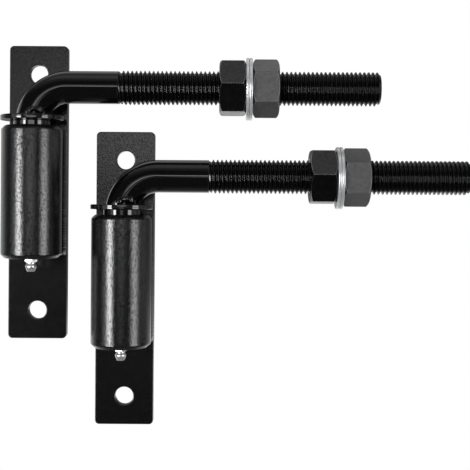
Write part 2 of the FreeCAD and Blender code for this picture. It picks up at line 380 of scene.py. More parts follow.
soft_box("left_soft_box", bearing=-39.8, height=-0.28, distance=1.5, width=0.40, tall=1.0, power=32)
soft_box("left_glow", bearing=-57, height=-0.20, distance=1.5, width=0.60, tall=1.0, power=2.4)
soft_box("right_soft_box", bearing=57, height=-0.20, distance=1.6, width=0.68, tall=1.0, power=16)

# %% [markdown]
# Tools of the bench
#
# A few small helpers stand for moves that a modeller makes by hand again and again. The first
# ones pick a piece, go into edit mode, select by place, and move or turn a whole mesh. Each new
# piece is drawn around the world's origin and moved in edit mode, so that its object stays at the
# origin, unturned. The finishes read an object's coordinates, so they then lie still on it.

# %% Select, move and turn
def pick(piece):
    """Make one piece the only selected and active one."""
    bpy.ops.object.select_all(action="DESELECT")
    piece.select_set(True)
    bpy.context.view_layer.objects.active = piece


def start_editing(piece, mode="VERT"):
    """Go into edit mode on a piece with all of it selected."""
    pick(piece)
    bpy.ops.object.mode_set(mode="EDIT")
    bpy.ops.mesh.select_mode(type=mode)
    bpy.ops.mesh.select_all(action="SELECT")


def stop_editing():
    """Leave edit mode."""
    bpy.ops.object.mode_set(mode="OBJECT")


def select_edges(piece, test):
    """Select the edges whose two ends pass the test, then stay in edit mode."""
    start_editing(piece, "EDGE")
    bpy.ops.mesh.select_all(action="DESELECT")
    stop_editing()
    corners = piece.data.vertices
    for edge in piece.data.edges:
        first, last = (corners[index].co for index in edge.vertices)
        edge.select = test(first, last)
    bpy.ops.object.mode_set(mode="EDIT")


def move_all(piece, step):
    """Move the whole mesh of a piece, not its object."""
    start_editing(piece)
    bpy.ops.transform.translate(value=step)
    stop_editing()


def turn_all(piece, angle, axis, centre):
    """Turn the whole mesh of a piece about a line by the right-hand rule."""
    placed = Matrix.Translation(centre)
    turn = placed @ Matrix.Rotation(angle, 4, axis) @ placed.inverted()
    piece.data.transform(turn)
    piece.data.update()


print("the bench has tools to pick, edit, select, move and turn")

# %% [markdown]
# The other helpers close seams, apply modifiers and join pieces. Smooth shading alone would bend
# the light on a flat face beside a rounded edge, so Weighted Normal follows it and lets the large
# faces decide.

# %% Close, round, shade, cut and join
seam_width = 0.001 * mm


def clean_up(piece, merge=seam_width):
    """Close the seams and point the faces outwards."""
    start_editing(piece)
    bpy.ops.mesh.remove_doubles(threshold=merge)
    bpy.ops.mesh.normals_make_consistent(inside=False)
    stop_editing()


def apply_modifier(piece, kind, **settings):
    """Add a modifier, set it up and apply it."""
    pick(piece)
    modifier = piece.modifiers.new(kind.lower(), kind)
    for name, value in settings.items():
        setattr(modifier, name, value)
    bpy.ops.object.modifier_apply(modifier=modifier.name)


def round_edges(piece, width, segments=3, angle=30):
    """Round every edge that is sharper than the angle."""
    apply_modifier(
        piece,
        "BEVEL",
        width=width,
        segments=segments,
        limit_method="ANGLE",
        angle_limit=math.radians(angle),
    )


def smooth_shade(piece, angle=32):
    """Shade smoothly across every edge that is blunter than the angle."""
    pick(piece)
    bpy.ops.object.shade_smooth_by_angle(angle=math.radians(angle))
    apply_modifier(piece, "WEIGHTED_NORMAL", mode="FACE_AREA", weight=50, keep_sharp=True)


def cut_away(piece, cutter, operation="DIFFERENCE"):
    """Cut one piece with another and throw the cutter away."""
    apply_modifier(piece, "BOOLEAN", object=cutter, operation=operation, solver="EXACT")
    bpy.data.objects.remove(cutter, do_unlink=True)


def join(first, *others):
    """Make several pieces one."""
    pick(first)
    for other in others:
        other.select_set(True)
    bpy.ops.object.join()
    return first


print("corners closer than this are merged, in mm:", round(seam_width / mm, 4))

# %% [markdown]
# A line and a lathe
#
# Most of these pieces were turned on a lathe, so they are made the same way here. A flat square
# is merged to one corner, that corner is extruded from point to point to draw half of the
# piece's section, and Spin sweeps the line around the axis.

# %% Draw and turn
lathe_steps = 128


def drawn_line(name, points):
    """An open line through the points, drawn by extruding one corner."""
    line = added(name, bpy.ops.mesh.primitive_plane_add, size=mm)
    start_editing(line)
    bpy.ops.mesh.merge(type="CENTER")
    bpy.ops.transform.translate(value=points[0])
    for here, there in zip(points, points[1:]):
        bpy.ops.mesh.extrude_vertices_move(TRANSFORM_OT_translate={"value": there - here})
    stop_editing()
    return line


def turned(name, outline, centre=None, axis="Z", steps=lathe_steps):
    """A turned piece from (radius, place along the axis) points, in metres."""
    centre = pin_axis if centre is None else centre
    direction = up if axis == "Z" else along_arm
    sideways = along_arm if axis == "Z" else up
    points = [centre + sideways * radius + direction * along for radius, along in outline]
    piece = drawn_line(name, points)
    start_editing(piece)
    bpy.ops.mesh.spin(steps=steps, angle=math.tau, center=centre, axis=direction)
    stop_editing()
    clean_up(piece)
    return piece


print("one turn of the lathe has", lathe_steps, "steps")

# %% [markdown]
# Finishes: the shared effects
#
# Three effects come back on several finishes, so each is a node group that is built once and
# placed in every material with its own values. A picture wrapped round a piece would do too, but
# noise that is computed at each point has no seam and stays sharp close up. All three read the
# Object coordinates, in metres, so a scale of 1000 means features about a millimetre apart.

# %% Make helpers for node groups
def new_group(name, inputs, outputs):
    """An empty node group with named number inputs and outputs."""
    group = bpy.data.node_groups.new(name, "ShaderNodeTree")
    for label, value in inputs.items():
        socket = group.interface.new_socket(
            name=label, in_out="INPUT", socket_type="NodeSocketFloat"
        )
        socket.default_value = value
    for label in outputs:
        group.interface.new_socket(name=label, in_out="OUTPUT", socket_type="NodeSocketFloat")
    entry = group.nodes.new("NodeGroupInput")
    way_out = group.nodes.new("NodeGroupOutput")
    return group, entry, way_out


def noise(nodes, links, place, scale, detail, roughness):
    """A noise texture; scale is a number or a socket."""
    texture = nodes.new("ShaderNodeTexNoise")
    texture.inputs["Detail"].default_value = detail
    texture.inputs["Roughness"].default_value = roughness
    links.new(place, texture.inputs["Vector"])
    if isinstance(scale, (int, float)):
        texture.inputs["Scale"].default_value = scale
    else:
        links.new(scale, texture.inputs["Scale"])
    return texture.outputs[0]


def clamped(nodes, links, value):
    """A value kept between 0 and 1."""
    clamp = nodes.new("ShaderNodeClamp")
    links.new(value, clamp.inputs["Value"])
    return clamp.outputs[0]


print("the groups can now be given inputs, outputs, noises and limits")

# %% [markdown]
# Orange peel is the skin of low dimples that sprayed powder leaves when it melts. Here it is one
# noise for the dimples with a finer one on it for grit, and a third by which the gloss drifts. A
# coarse coat also glitters, and the bright tops of a fourth noise are its flecks.

# %% Build the orange peel
grit_fineness = 3.1
flecks_per_metre = 1020.0
fleck_level = 0.50
fleck_contrast = 7.0
fleck_dullness = 0.15


def orange_peel_group():
    """Low dimples with finer grit, a roughness that drifts in patches, and bright flecks."""
    group, entry, way_out = new_group(
        "orange_peel",
        {
            "Dimples per metre": 900.0,
            "Grit share": 0.3,
            "Roughness": 0.3,
            "Roughness spread": 0.1,
            "Patches per metre": 160.0,
            "Flecks": 0.0,
        },
        ("Height", "Roughness", "Flecks"),
    )
    nodes, links, given = group.nodes, group.links, entry.outputs
    place = nodes.new("ShaderNodeTexCoord").outputs["Object"]
    dimples = noise(nodes, links, place, given["Dimples per metre"], 1.5, 0.45)
    grit_scale = arithmetic(nodes, links, "MULTIPLY", given["Dimples per metre"], grit_fineness)
    grit = noise(nodes, links, place, grit_scale, 2.0, 0.6)
    grit_part = arithmetic(nodes, links, "MULTIPLY", grit, given["Grit share"])
    height = arithmetic(nodes, links, "ADD", dimples, grit_part)
    drift = noise(nodes, links, place, given["Patches per metre"], 3.0, 0.55)
    swing = arithmetic(nodes, links, "SUBTRACT", drift, 0.5)
    swing = arithmetic(nodes, links, "MULTIPLY", swing, given["Roughness spread"])
    roughness = arithmetic(nodes, links, "ADD", given["Roughness"], swing)
    flecks = noise(nodes, links, place, flecks_per_metre, 1.5, 0.6)
    flecks = arithmetic(nodes, links, "SUBTRACT", flecks, fleck_level)
    flecks = arithmetic(nodes, links, "MULTIPLY", flecks, fleck_contrast)
    flecks = clamped(nodes, links, flecks)
    flecks = arithmetic(nodes, links, "MULTIPLY", flecks, given["Flecks"])
    dull = arithmetic(nodes, links, "MULTIPLY", flecks, fleck_dullness)
    roughness = arithmetic(nodes, links, "ADD", roughness, dull)
    links.new(height, way_out.inputs["Height"])
    links.new(roughness, way_out.inputs["Roughness"])
    links.new(flecks, way_out.inputs["Flecks"])
    return group


orange_peel = orange_peel_group()
print("node group:", orange_peel.name)

# %% [markdown]
# Sharp edges are painted lighter: partly for the coat that handling wears thin there, and partly
# as a painted highlight for the light that a rounded edge catches. A Bevel node gives the normal
# that a rounded edge would have, and where it leans away from the real one there is an edge.
# Edges could be painted by hand instead, but this finds them on any piece. Noise breaks the line
# up.

# %% Build the worn and highlit edges
edge_mask_width = 0.55 * mm
edge_mask_contrast = 16.0


def edge_wear_and_highlight_group():
    """A mask that is 1 on sharp edges, broken up by noise."""
    group, entry, way_out = new_group(
        "edge_wear_and_highlight", {"Amount": 0.5, "Breaks per metre": 1500.0}, ("Mask",)
    )
    nodes, links, given = group.nodes, group.links, entry.outputs
    bevel = nodes.new("ShaderNodeBevel")
    bevel.samples = 4
    bevel.inputs["Radius"].default_value = edge_mask_width
    flat = nodes.new("ShaderNodeNewGeometry")
    dot = nodes.new("ShaderNodeVectorMath")
    dot.operation = "DOT_PRODUCT"
    links.new(bevel.outputs["Normal"], dot.inputs[0])
    links.new(flat.outputs["Normal"], dot.inputs[1])
    turned_away = arithmetic(nodes, links, "SUBTRACT", 1.0, dot.outputs["Value"])
    edge = arithmetic(nodes, links, "MULTIPLY", turned_away, edge_mask_contrast)
    place = nodes.new("ShaderNodeTexCoord").outputs["Object"]
    breaks = noise(nodes, links, place, given["Breaks per metre"], 3.0, 0.6)
    broken = arithmetic(nodes, links, "MULTIPLY", edge, breaks)
    amount = arithmetic(nodes, links, "MULTIPLY", broken, given["Amount"])
    links.new(clamped(nodes, links, amount), way_out.inputs["Mask"])
    return group


edge_wear_and_highlight = edge_wear_and_highlight_group()
print("node group:", edge_wear_and_highlight.name)

# %% [markdown]
# Oiled or plated metal is never one even colour. The mottle is a single cloudy noise, stretched
# about its middle, so that a material can mix a darker and a lighter colour by it.

# %% Build the mottle
def mottle_group():
    """Cloudy patches between 0 and 1."""
    group, entry, way_out = new_group(
        "mottle", {"Clouds per metre": 220.0, "Contrast": 2.0}, ("Clouds",)
    )
    nodes, links, given = group.nodes, group.links, entry.outputs
    place = nodes.new("ShaderNodeTexCoord").outputs["Object"]
    clouds = noise(nodes, links, place, given["Clouds per metre"], 5.0, 0.6)
    centred = arithmetic(nodes, links, "SUBTRACT", clouds, 0.5)
    spread = arithmetic(nodes, links, "MULTIPLY", centred, given["Contrast"])
    shifted = arithmetic(nodes, links, "ADD", spread, 0.5)
    links.new(clamped(nodes, links, shifted), way_out.inputs["Clouds"])
    return group


mottle = mottle_group()
print("node group:", mottle.name)

# %% [markdown]
# Finishes: the materials
#
# Every material is a Principled shader fed by the groups. Each finish could be wired up on its
# own, but they differ only in their numbers, so two recipes, a sprayed coat and a bare metal,
# make them all. Three small helpers come first.

# %% Make helpers for materials
def placed_group(nodes, group, **values):
    """A copy of a node group in a material, with its own values."""
    node = nodes.new("ShaderNodeGroup")
    node.node_tree = group
    for name, value in values.items():
        node.inputs[name.replace("_", " ")].default_value = value
    return node


def colour_mix(nodes, links, factor, first, second):
    """A colour between two, by a factor socket."""
    mix = nodes.new("ShaderNodeMix")
    mix.data_type = "RGBA"
    for socket, colour in (("A", first), ("B", second)):
        if isinstance(colour, tuple):
            mix.inputs[socket].default_value = (*colour, 1)
        else:
            links.new(colour, mix.inputs[socket])
    links.new(factor, mix.inputs["Factor"])
    return mix.outputs["Result"]


def bump(nodes, links, height, distance):
    """A bump node fed by a height."""
    node = nodes.new("ShaderNodeBump")
    node.inputs["Distance"].default_value = distance
    links.new(height, node.inputs["Height"])
    return node.outputs["Normal"]


print("the materials can now place a group, mix colours and be bumpy")

# %% [markdown]
# The plate and the beads are powder coated, which lies thick and dimpled, and the barrel has a
# coarser coat that glitters. The bent bar, its washer and the bush have a thinner and glossier
# black. The thread keeps a plain black with less shine, or each of its crests would flash.

# %% Mix the black coats
# The lighter grey for sharp edges: partly worn coat, partly a painted highlight.
wear_and_highlight_black = (0.03, 0.03, 0.03)


def black_coat(name, colour, rough, spread, patches, dimples, depth, grit, wear_and_highlight, flecks, shine):
    """A sprayed black finish: orange peel, uneven gloss, flecks and worn edges with painted
    highlight.
    """
    material, nodes, links, shader = new_material(name)
    shader.inputs["Specular IOR Level"].default_value = shine
    peel = placed_group(
        nodes,
        orange_peel,
        Roughness=rough,
        Roughness_spread=spread,
        Patches_per_metre=patches,
        Dimples_per_metre=dimples,
        Grit_share=grit,
        Flecks=flecks,
    )
    # Sharp edges are painted lighter: partly worn coat, partly a painted highlight.
    edges = placed_group(nodes, edge_wear_and_highlight, Amount=wear_and_highlight)
    coat = colour_mix(nodes, links, edges.outputs["Mask"], colour, wear_and_highlight_black)
    links.new(coat, shader.inputs["Base Color"])
    links.new(peel.outputs["Roughness"], shader.inputs["Roughness"])
    links.new(bump(nodes, links, peel.outputs["Height"], depth), shader.inputs["Normal"])
    if flecks > 0:
        links.new(peel.outputs["Flecks"], shader.inputs["Metallic"])
    return material


powder_coat = black_coat(
    "powder_coat", colour=(0.0025, 0.0025, 0.0027), rough=0.17, spread=0.10, patches=420.0,
    dimples=900.0, depth=0.03 * mm, grit=0.7, wear_and_highlight=0.5, flecks=0.45, shine=0.43,
)
barrel_coat = black_coat(
    "barrel_coat", colour=(0.0065, 0.0065, 0.0067), rough=0.08, spread=0.24, patches=1100.0,
    dimples=1000.0, depth=0.08 * mm, grit=0.6, wear_and_highlight=0.5, flecks=0.80, shine=0.5,
)
gloss_coat = black_coat(
    "gloss_coat", colour=(0.0015, 0.0015, 0.0016), rough=0.07, spread=0.06, patches=160.0,
    dimples=300.0, depth=0.012 * mm, grit=0.1, wear_and_highlight=0.5, flecks=0.1, shine=0.5,
)
thread_coat = black_coat(
    "thread_coat", colour=(0.0015, 0.0015, 0.0016), rough=0.17, spread=0.04, patches=160.0,
    dimples=300.0, depth=0.001 * mm, grit=0.1, wear_and_highlight=0.2, flecks=0.0, shine=0.36,
)
print("coats:", powder_coat.name, barrel_coat.name, gloss_coat.name, thread_coat.name)

# %% [markdown]
# The nuts are black oxide, which is a skin on the steel itself and so looks like very dark metal:
# the outer nuts have an older, duller and lighter one. The flat washers are zinc plated, the
# grease nipple has a brighter zinc, and its ball is plain steel.

# %% Mix the metals
# Nut edges are painted light grey: partly oxide worn through to steel, partly a painted highlight
# where the edges catch the light.
nut_wear_and_highlight = 5.0
dimples_per_cloud = 4


def bare_metal(name, dark, light, metal, rough, spread, clouds, depth, rubbed_and_highlit=None):
    """A metal skin whose colour and gloss drift in clouds; rubbed_and_highlit is its edge colour,
    worn and painted highlight.
    """
    material, nodes, links, shader = new_material(name)
    shader.inputs["Metallic"].default_value = metal
    drift = placed_group(nodes, mottle, Clouds_per_metre=clouds)
    peel = placed_group(
        nodes,
        orange_peel,
        Roughness=rough,
        Roughness_spread=spread,
        Dimples_per_metre=clouds * dimples_per_cloud,
    )
    skin = colour_mix(nodes, links, drift.outputs["Clouds"], dark, light)
    # Edges are painted lighter: partly worn oxide, partly a painted highlight.
    if rubbed_and_highlit is not None:
        edges = placed_group(nodes, edge_wear_and_highlight, Amount=nut_wear_and_highlight)
        skin = colour_mix(nodes, links, edges.outputs["Mask"], skin, rubbed_and_highlit)
    links.new(skin, shader.inputs["Base Color"])
    links.new(peel.outputs["Roughness"], shader.inputs["Roughness"])
    links.new(bump(nodes, links, peel.outputs["Height"], depth), shader.inputs["Normal"])
    return material


black_oxide = bare_metal(
    "black_oxide", dark=(0.040, 0.040, 0.041), light=(0.068, 0.068, 0.069), metal=1.0,
    rough=0.26, spread=0.16, clouds=420.0, depth=0.02 * mm, rubbed_and_highlit=(0.34, 0.34, 0.35),
)
dull_oxide = bare_metal(
    "dull_oxide", dark=(0.070, 0.070, 0.071), light=(0.115, 0.115, 0.116), metal=0.72,
    rough=0.40, spread=0.10, clouds=520.0, depth=0.02 * mm, rubbed_and_highlit=(0.30, 0.30, 0.31),
)
zinc_plate = bare_metal(
    "zinc_plate", dark=(0.58, 0.59, 0.60), light=(0.68, 0.69, 0.70), metal=0.7,
    rough=0.32, spread=0.12, clouds=300.0, depth=0.002 * mm,
)
bright_zinc = bare_metal(
    "bright_zinc", dark=(0.66, 0.66, 0.65), light=(0.78, 0.78, 0.77), metal=0.85,
    rough=0.27, spread=0.12, clouds=500.0, depth=0.006 * mm,
)
ball_steel = bare_metal(
    "ball_steel", dark=(0.30, 0.30, 0.30), light=(0.40, 0.40, 0.40), metal=1.0,
    rough=0.12, spread=0.06, clouds=500.0, depth=0.002 * mm,
)

print("metals:", black_oxide.name, dull_oxide.name)
print("plated and bare:", zinc_plate.name, bright_zinc.name, ball_steel.name)

# %% [markdown]
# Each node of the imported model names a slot, and each slot has a finish. Two kinds of piece look
# different from the others in their slot, so they have finishes of their own.

# %% Match the finishes to the slots
finish_of_slot = {
    "powder_coat": powder_coat,
    "black_coat": gloss_coat,
    "black_oxide": black_oxide,
    "zinc_plate": zinc_plate,
    "bright_zinc": bright_zinc,
    "ball_steel": ball_steel,
}
finish_of_kind = {"barrel": barrel_coat, "outer_nut": dull_oxide}
print("finishes by slot:", ", ".join(finish_of_slot))

# %% [markdown]
# Mounting plate
#
# A length of flat bar, cropped and drilled, with its corners ground round. It could be drawn flat
# and given a thickness, but a cube at the bar's size is quicker. Its four short corners are
# bevelled, the two bolt holes are cut with cylinders, and a narrow bevel all round stands for the
# powder, which lies round over a sharp edge.

# %% Make the mounting plate
plate_corner_radius = 2.5 * mm
plate_corner_steps = 8
plate_edge_break = 0.5 * mm
hole_radius = 5.5 * mm
hole_spacing = 142 * mm
hole_steps = 96


def make_mounting_plate():
    """The bar, its rounded corners and its two holes."""
    middle = middle_of("upper_mounting_plate")
    size = size_of("upper_mounting_plate")
    plate = added("made_mounting_plate", bpy.ops.mesh.primitive_cube_add, size=1)
    start_editing(plate)
    bpy.ops.transform.resize(value=size)
    stop_editing()
    select_edges(plate, lambda first, last: abs(first.y - last.y) > size.y / 2)
    bpy.ops.mesh.bevel(
        offset=plate_corner_radius, segments=plate_corner_steps, affect="EDGES"
    )
    stop_editing()
    move_all(plate, middle)
    for side in (-1, 1):
        drill = added(
            "drill",
            bpy.ops.mesh.primitive_cylinder_add,
            middle + up * side * hole_spacing / 2,
            vertices=hole_steps,
            radius=hole_radius,
            depth=size.y * 2,
            rotation=(math.radians(90), 0, 0),
        )
        cut_away(plate, drill)
    round_edges(plate, plate_edge_break)
    smooth_shade(plate)
    return plate


print("the plate measures in mm:", size_of("upper_mounting_plate") / mm)

# %% [markdown]
# Barrel
#
# A round bar bored from above, with both ends chamfered and a blind floor. A cylinder cut with a
# Boolean would do, but a spun section gives clean rings of faces that bevel well. The section is
# drawn from the floor's underside round to the bottom of the bore. The coat rounds the edges.

# %% Make the barrel
barrel_radius = (barrel_high.x - barrel_low.x) / 2
barrel_end_chamfer = 2.2 * mm
barrel_edge_round = 0.7 * mm
barrel_mouth_chamfer = 0.8 * mm
bush_radius = size_of("upper_bush").x / 2
bore_radius = bush_radius + 0.02 * mm
bore_floor = barrel_low.z + 10 * mm


def make_barrel():
    """The turned barrel with its bore."""
    barrel = turned(
        "made_barrel",
        [
            (0, barrel_low.z),
            (barrel_radius - barrel_end_chamfer, barrel_low.z),
            (barrel_radius, barrel_low.z + barrel_end_chamfer),
            (barrel_radius, barrel_high.z - barrel_end_chamfer),
            (barrel_radius - barrel_end_chamfer, barrel_high.z),
            (bore_radius + barrel_mouth_chamfer, barrel_high.z),
            (bore_radius, barrel_high.z - barrel_mouth_chamfer),
            (bore_radius, bore_floor),
            (0, bore_floor),
        ],
    )
    round_edges(barrel, barrel_edge_round, segments=4)
    smooth_shade(barrel)
    return barrel


print("the bore's radius in mm:", round(bore_radius / mm, 2))

# %% [markdown]
# Weld beads
#
# Each bead lies in the groove between the barrel's side and the plate. It was laid as a row of
# small puddles, each frozen over the last, which leaves curved ripples. Spheres in a row would
# give lumps and not ripples, so a section of the bead is drawn and then extruded. The section's
# outer part is pushed ahead, because a puddle trails back at its sides.

# %% Draw the bead's section
ripple_lead = 1.3 * mm
bead_wrap_angle = math.radians(57)
bead_crown = 1.1 * mm
bead_points = 11
bead_toe_inset = 0.2 * mm
bead_sink = 0.4 * mm
bead_root_reach = 6 * mm
bead_back_inset = 1.5 * mm
bead_back_width = 0.86
bead_back_depth = 0.9


def bead_section(side):
    """Points of the bead's section, around from its toe on the plate to its toe on the barrel."""
    plate_low, plate_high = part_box("upper_mounting_plate")
    plate_front = plate_low.y
    toe_reach = (plate_high.x - plate_low.x) / 2 - bead_toe_inset
    toe = Vector((pin_axis.x + side * toe_reach, plate_front, 0))
    wrap_side = side * barrel_radius * math.sin(bead_wrap_angle)
    wrap_depth = barrel_radius * math.cos(bead_wrap_angle)
    barrel_toe = pin_axis + Vector((wrap_side, wrap_depth, 0))
    chord = barrel_toe - toe
    outward = Vector((side * abs(chord.y), -abs(chord.x), 0)).normalized()
    points = []
    for index in range(bead_points):
        share = index / (bead_points - 1)
        swell = 4 * share * (1 - share)
        lead = up * ripple_lead * (swell - 1)
        points.append(toe + chord * share + outward * bead_crown * swell + lead)
    back = up * -ripple_lead
    in_barrel = Vector((wrap_side * bead_back_width, wrap_depth * bead_back_depth, 0))
    points.append(pin_axis + in_barrel + back)
    root_side = pin_axis.x + side * bead_root_reach
    points.append(Vector((root_side, plate_front - bead_sink, 0)) + back)
    points.append(Vector((toe.x - side * bead_back_inset, plate_front + bead_sink, 0)) + back)
    return points


print("points round the bead's section:", len(bead_section(1)))

# %% [markdown]
# The section is extruded a ripple at a time, swelling and shrinking a little, and closed at both
# ends with a dome. Each ripple has four rings: its rise, its brow, its foot and the valley after
# it. The sizes are drawn at random from a fixed seed, so each run gives the same bead.

# %% Lay the weld beads
ripple_length = 1.7 * mm
ripple_depth = 0.045
ripple_rise = 0.30
ripple_brow = 0.72
ripple_droop = 0.004
ripple_foot = 0.93
ripple_valley = 0.6
ripple_swell_spread = (0.5, 1.5)
ripple_foot_spread = (0.3, 1.0)
bead_end_gap = 0.3 * mm
bead_spare = 0.4 * mm
bead_seed = 11
dome_height = 2.2 * mm
first_dome = ((0.12, 0.78), (0.4, 0.93), (1.0, 1.0))
first_scale = 0.5
last_dome = ((0.9, 1.0), (0.4, 0.9), (0.12, 0.72), (0.0, 0.45))


def bead_rings(draw, length, top):
    """The heights of the bead's rings and how full each one is."""
    rings = [(share * dome_height, scale) for share, scale in first_dome]
    for index in range(int(length / ripple_length)):
        low = dome_height + index * ripple_length
        swell = 1 + ripple_depth * draw.uniform(*ripple_swell_spread)
        rings.append((low + ripple_length * ripple_rise, swell))
        rings.append((low + ripple_length * ripple_brow, swell - ripple_droop))
        foot = 1 - ripple_depth * draw.uniform(*ripple_foot_spread)
        rings.append((low + ripple_length * ripple_foot, foot))
        rings.append((low + ripple_length, 1 - ripple_depth * ripple_valley))
    return rings + [(top - dome_height * share, scale) for share, scale in last_dome]


def make_weld_bead(side):
    """One bead, extruded ripple by ripple."""
    draw = random.Random(bead_seed + side)
    points = bead_section(side)
    bead = drawn_line("made_bead", [point + up * barrel_low.z for point in points])
    start_editing(bead)
    bpy.ops.mesh.edge_face_add()
    length = barrel_high.z - barrel_low.z
    start = ripple_lead + bead_end_gap
    bpy.ops.transform.translate(value=up * start)
    centre = sum(points, Vector()) / len(points) + up * (barrel_low.z + start)
    here, size = 0.0, first_scale
    bpy.ops.transform.resize(value=(size, size, 1), center_override=centre)
    rippled = length - start - 2 * dome_height - bead_spare
    for height, scale in bead_rings(draw, rippled, length - start - bead_end_gap):
        bpy.ops.mesh.extrude_region_move(TRANSFORM_OT_translate={"value": up * (height - here)})
        grow = scale / size
        bpy.ops.transform.resize(value=(grow, grow, 1), center_override=centre + up * height)
        here, size = height, scale
    stop_editing()
    clean_up(bead)
    apply_modifier(bead, "SUBSURF", levels=1, render_levels=1)
    smooth_shade(bead, angle=60)
    return bead


def make_barrel_welds():
    """Both beads, as one piece of the hinge."""
    welds = join(make_weld_bead(-1), make_weld_bead(1))
    welds.name = "made_barrel_welds"
    return welds


print("ripples on each bead: about", round((barrel_high.z - barrel_low.z) / ripple_length))

# %% [markdown]
# Bush
#
# A smooth sleeve that lines the barrel and stands a little above it. One cylinder cut from
# another would give a plain tube, but the mouth widens to lead the pin in, so it is turned like
# the barrel. The thrust washer runs on its top edge, which is therefore only slightly broken.

# %% Make the bush
bush_wall = 1.0 * mm
bush_lead_in_width = 0.2 * mm
bush_lead_in_depth = 3.0 * mm
bush_edge_round = 0.25 * mm


def make_bush():
    """The turned sleeve."""
    low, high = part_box("upper_bush")
    inner = bush_radius - bush_wall
    bush = turned(
        "made_bush",
        [
            (inner, low.z),
            (bush_radius, low.z),
            (bush_radius, high.z),
            (inner + bush_lead_in_width, high.z),
            (inner, high.z - bush_lead_in_depth),
            (inner, low.z),
        ],
    )
    round_edges(bush, bush_edge_round, angle=25)
    smooth_shade(bush)
    return bush


bush_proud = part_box("upper_bush")[1].z - barrel_high.z
print("the bush stands proud of the barrel in mm:", round(bush_proud / mm, 2))

# %% [markdown]
# Grease nipple
#
# A small turned fitting with a hexagon for the spanner, a waist that the grease gun's jaws grip
# behind, and a cone that ends in a drilled mouth. The ball sits in that mouth as a piece of its
# own, with room behind it to be pushed up. The body is a spun section, and the hexagon is a
# six-sided cylinder that is intersected with a turned cone, as the real one's corners are turned
# off. The sections are in millimetres, as radius and height.

# %% Make the grease nipple and its ball
nipple_hexagon = 7.0 * mm
nipple_hexagon_height = 2.3 * mm
nipple_hexagon_turn = 15
nipple_edge_round = 0.12 * mm
nipple_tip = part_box("upper_grease_nipple")[0].z
nipple_body = (
    (0, 1.0),
    (2.9, 1.0),
    (2.9, -2.2),
    (2.60, -2.5),
    (2.50, -3.1),
    (2.60, -3.6),
    (3.15, -4.3),
    (3.25, -4.8),
    (3.20, -5.4),
    (2.75, -6.6),
)
nipple_mouth = ((2.15, 0), (0.95, 0), (0.95, 0.5), (1.30, 0.9), (1.30, 3.3), (0, 4.2))
hexagon_limits = ((0, -1.5), (2.88, -1.5), (4.6, -0.44), (4.6, 1.5), (0, 1.5))


def in_metres(section, start):
    """A section's points in metres, with its heights counted from the start."""
    return [(radius * mm, start + height * mm) for radius, height in section]


def make_grease_nipple():
    """The turned body joined to its hexagon."""
    bottom = barrel_low.z
    outline = in_metres(nipple_body, bottom) + in_metres(nipple_mouth, nipple_tip)
    body = turned("made_grease_nipple", outline, steps=64)
    round_edges(body, nipple_edge_round, segments=2, angle=25)
    hexagon = added(
        "nipple_hexagon",
        bpy.ops.mesh.primitive_cylinder_add,
        vertices=6,
        radius=nipple_hexagon / math.sqrt(3),
        depth=nipple_hexagon_height,
        rotation=(0, 0, math.radians(nipple_hexagon_turn)),
    )
    bpy.ops.object.transform_apply(location=False, rotation=True, scale=False)
    cone = turned("hexagon_cone", in_metres(hexagon_limits, 0), centre=Vector(), steps=48)
    cut_away(hexagon, cone, "INTERSECT")
    round_edges(hexagon, nipple_edge_round, segments=2, angle=20)
    move_all(hexagon, pin_axis + up * (bottom - nipple_hexagon_height / 2))
    nipple = join(body, hexagon)
    smooth_shade(nipple, angle=30)
    return nipple


def make_nipple_ball():
    """The ball that closes the mouth."""
    low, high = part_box("upper_nipple_ball")
    ball = added(
        "made_nipple_ball",
        bpy.ops.mesh.primitive_uv_sphere_add,
        segments=48,
        ring_count=24,
        radius=(high.z - low.z) / 2,
    )
    move_all(ball, middle_of("upper_nipple_ball"))
    smooth_shade(ball, angle=60)
    return ball


print("the nipple hangs below the barrel in mm:", round((barrel_low.z - nipple_tip) / mm, 2))

# %% [markdown]
# Bent bolt
#
# One round bar: a plain pin, a bend through a right angle and a long threaded arm. A curve with a
# round bevel could give the plain part, but here it is made as the smith would: a disc at the
# pin's foot is extruded up, spun round the bend and extruded along the shank.

# %% Make the plain bar
bar_radius = 9.5 * mm
bar_corners = 96
pin_chamfer = 1.6 * mm
bend_radius = 21.5 * mm
bend_steps = 40
bolt_low, bolt_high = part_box("upper_j_bolt")
bend_start = arm_axis.z - bend_radius
thread_start = 50.7 * mm
arm_end = bolt_high.x


def make_plain_bar():
    """Pin, bend and shank, up to the start of the thread."""
    foot = bolt_low.z
    bar = added(
        "made_j_bolt",
        bpy.ops.mesh.primitive_circle_add,
        vertices=bar_corners,
        radius=bar_radius - pin_chamfer,
        fill_type="NGON",
    )
    start_editing(bar, "FACE")
    bpy.ops.transform.translate(value=pin_axis + up * foot)
    bpy.ops.mesh.extrude_region_move(TRANSFORM_OT_translate={"value": up * pin_chamfer})
    grow = bar_radius / (bar_radius - pin_chamfer)
    bpy.ops.transform.resize(
        value=(grow, grow, 1), center_override=pin_axis + up * (foot + pin_chamfer)
    )
    climb = bend_start - foot - pin_chamfer
    bpy.ops.mesh.extrude_region_move(TRANSFORM_OT_translate={"value": up * climb})
    centre = pin_axis + Vector((bend_radius, 0, bend_start))
    bpy.ops.mesh.spin(
        steps=bend_steps, angle=math.radians(-90), center=centre, axis=into_post
    )
    run = thread_start - bend_radius
    bpy.ops.mesh.extrude_region_move(TRANSFORM_OT_translate={"value": along_arm * run})
    stop_editing()
    return bar


print("the bar's diameter in mm:", 2 * bar_radius / mm)

# %% [markdown]
# The thread was rolled onto the bar, so its crests are rounded and its roots a little flat. Rings
# would look like a thread from afar, but a nut runs on a helix, and the Screw modifier makes one.
# It sweeps one tooth's outline, given as shares of the pitch and of the depth, by one pitch a
# turn. The long screw is cut square at both ends, and its corners are pressed in where the bar's
# end is chamfered and where the thread runs out into the shank.

